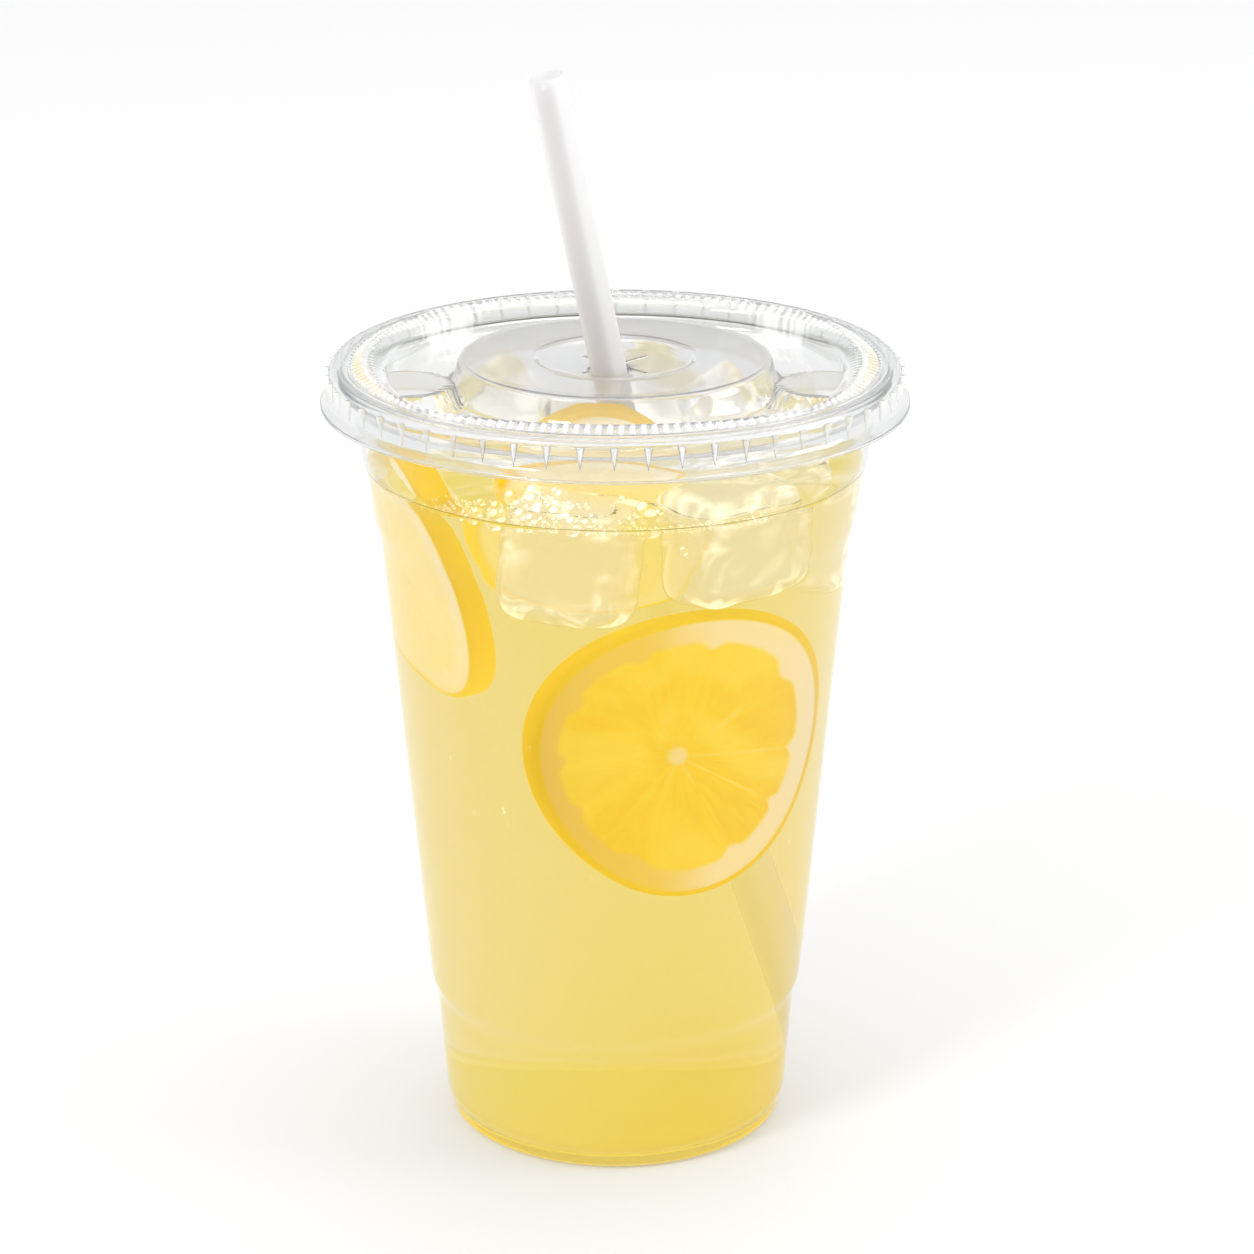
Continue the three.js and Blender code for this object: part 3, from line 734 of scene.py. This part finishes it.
wedge = np.array([(LUG_FOOT, -LUG_WIDTH / 2, LUG_SPAN[1]), (LUG_TIP, 0.0, LUG_SPAN[1]),
                  (LUG_FOOT, LUG_WIDTH / 2, LUG_SPAN[1]), (LUG_FOOT + 0.15, 0.0, LUG_SPAN[0])])
wedge_faces = np.array([(2, 1, 0), (0, 1, 3), (1, 2, 3), (2, 0, 3)])
turns = np.linspace(0, 360, LUGS, endpoint=False) + 90
points = np.concatenate([wedge @ turn_matrix((0, 0, turn)).T for turn in turns])
faces = np.arange(LUGS)[:, None, None] * len(wedge) + wedge_faces
lug_object = placed("lid_lugs", points, faces.reshape(-1, 3).tolist(), smooth=False)
# The lugs are milky and glow faintly white, a painted glow.
lid_milky_glow, _, _ = material(
    "lid_milky_glow", Base_Color=(0.98, 0.98, 0.98, 1), Roughness=0.1, IOR=1.5, Transmission_Weight=0.75,
    Emission_Color=(1, 1, 1, 1), Emission_Strength=0.02)
lug_object.data.materials.append(lid_milky_glow)
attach(lug_object, "root")


# Straw
# A straight white tube, cut square at both ends, pushed down through the slits of the lid. Its
# front has a soft grey streak of painted shade, and the glow below the drink's surface makes up for
# the light that the cloudy drink takes from it.

STRAW_OUTER, STRAW_WALL = 3.15, 0.3
STRAW_LOW = np.array([25.99, 7.90, 6.2])
STRAW_HIGH = np.array([-11.594, -8.611, 196.0])
STRAW_AROUND, STRAW_PITCH = 48, 4.0
SUNK_HEIGHTS = (0.127, 0.125)
SHADE_STREAK_WAY, SHADE_STREAK_SPAN = (-0.3, -0.95, 0.0), (0.7, 1.0)

lean = STRAW_HIGH - STRAW_LOW
straw_length = np.linalg.norm(lean)
lean /= straw_length
side = np.cross(lean, (0.0, 1.0, 0.0))
side /= np.linalg.norm(side)
straw_frame = np.stack([side, np.cross(lean, side), lean])
bore = STRAW_OUTER - STRAW_WALL
tube = np.array([(bore, 0), (STRAW_OUTER, 0), (STRAW_OUTER, straw_length), (bore, straw_length)])
straw_rings = revolved(divided(tube, STRAW_PITCH), STRAW_AROUND)
straw = skin("straw_tube", straw_rings @ straw_frame + STRAW_LOW, "joined")
straw_white, straw_tree, straw_shader = material(
    "straw_white", Roughness=0.35, Emission_Strength=0.2)
# Painted shade: the side of the straw that faces front left is greyer.
facing = node(straw_tree, "NewGeometry", {}).outputs["Normal"]
facing = node(straw_tree, "VectorMath", {0: facing, 1: SHADE_STREAK_WAY},
              operation="DOT_PRODUCT").outputs["Value"]
shade_streak = blended(straw_tree, ramped(straw_tree, facing, *SHADE_STREAK_SPAN), (0.86, 0.86, 0.86, 1),
                 (0.71, 0.69, 0.695, 1))
straw_tree.links.new(shade_streak, straw_shader.inputs["Base Color"])
sunk = ramped(straw_tree, place(straw_tree)[2], *SUNK_HEIGHTS)
sunk = blended(straw_tree, sunk, (0, 0, 0, 1), (0.35, 0.42, 1.0, 1))
straw_tree.links.new(sunk, straw_shader.inputs["Emission Color"])
straw.data.materials.append(straw_white)
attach(straw, "root")
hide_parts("straw")


# Studio
# A pale floor that glows a little, a white surround and soft lamps, with the camera where the
# photograph was taken.

FLOOR_REACH = 4000.0
SKY_SHADES = ((0.70, 0.66), (0.78, 0.45), (0.86, 0.75), (0.95, 1.3))
LAMPS = (
    ("key_lamp", (-1.0, -1.1, 1.3), 0.45, 11.0),
    ("side_lamp", (1.3, -0.1, 0.5), 0.6, 5.0),
    ("top_lamp", (0.3, 0.4, 1.9), 1.2, 6.0),
)
LAMP_TARGET = (0, 0, 0.1)
CAMERA_PLACE = (0.0021, -0.6819, 0.3307)
CAMERA_PITCH = 19.17
CAMERA_FOCAL = 3993.0
PHOTO_SIDE = 1254
SENSOR_WIDTH = 36.0

floor_corners = np.array([(-1, -1, 0), (1, -1, 0), (1, 1, 0), (-1, 1, 0)]) * FLOOR_REACH
floor = placed("floor", floor_corners, [(0, 1, 2, 3)], smooth=False)
floor_pale, _, _ = material("floor_pale", Base_Color=(0.66, 0.66, 0.66, 1), Roughness=0.6,
                            Emission_Color=(1, 1, 1, 1), Emission_Strength=0.26)
floor.data.materials.append(floor_pale)

world = bpy.data.worlds.new("studio")
bpy.context.scene.world = world
world.use_nodes = True
sky = world.node_tree
way = node(sky, "TexCoord", {}).outputs["Generated"]
height = node(sky, "SeparateXYZ", {0: way}).outputs[2]
shades = node(sky, "ValToRGB", {0: sums(sky, "MULTIPLY_ADD", height, 0.5, 0.5)})
bands = shades.color_ramp.elements
bands[0].position, bands[0].color = 0.53, (1, 1, 1, 1)
bands[1].position, bands[1].color = 0.60, (0.66, 0.67, 0.68, 1)
for share, shade in SKY_SHADES:
    band = bands.new(share)
    band.color = (shade, shade, shade, 1)
sky.links.new(shades.outputs[0], sky.nodes["Background"].inputs["Color"])
sky.nodes["Background"].inputs["Strength"].default_value = 1.0

for name, spot, size, power in LAMPS:
    lamp_data = bpy.data.lights.new(name, "AREA")
    lamp_data.size = size
    lamp_data.energy = power
    lamp = bpy.data.objects.new(name, lamp_data)
    bpy.context.scene.collection.objects.link(lamp)
    lamp.location = spot
    aim = mathutils.Vector(LAMP_TARGET) - lamp.location
    lamp.rotation_euler = aim.to_track_quat("-Z", "Y").to_euler()

camera_data = bpy.data.cameras.new("camera")
camera = bpy.data.objects.new("camera", camera_data)
bpy.context.scene.collection.objects.link(camera)
camera.location = CAMERA_PLACE
camera.rotation_euler = (np.radians(90 - CAMERA_PITCH), 0, 0)
camera_data.sensor_width = SENSOR_WIDTH
camera_data.lens = SENSOR_WIDTH * CAMERA_FOCAL / PHOTO_SIDE
bpy.context.scene.camera = camera
bpy.context.scene.view_settings.view_transform = "Standard"
bpy.context.scene.cycles.volume_bounces = 8
bpy.context.scene.cycles.max_bounces = 24
bpy.context.scene.cycles.transmission_bounces = 24
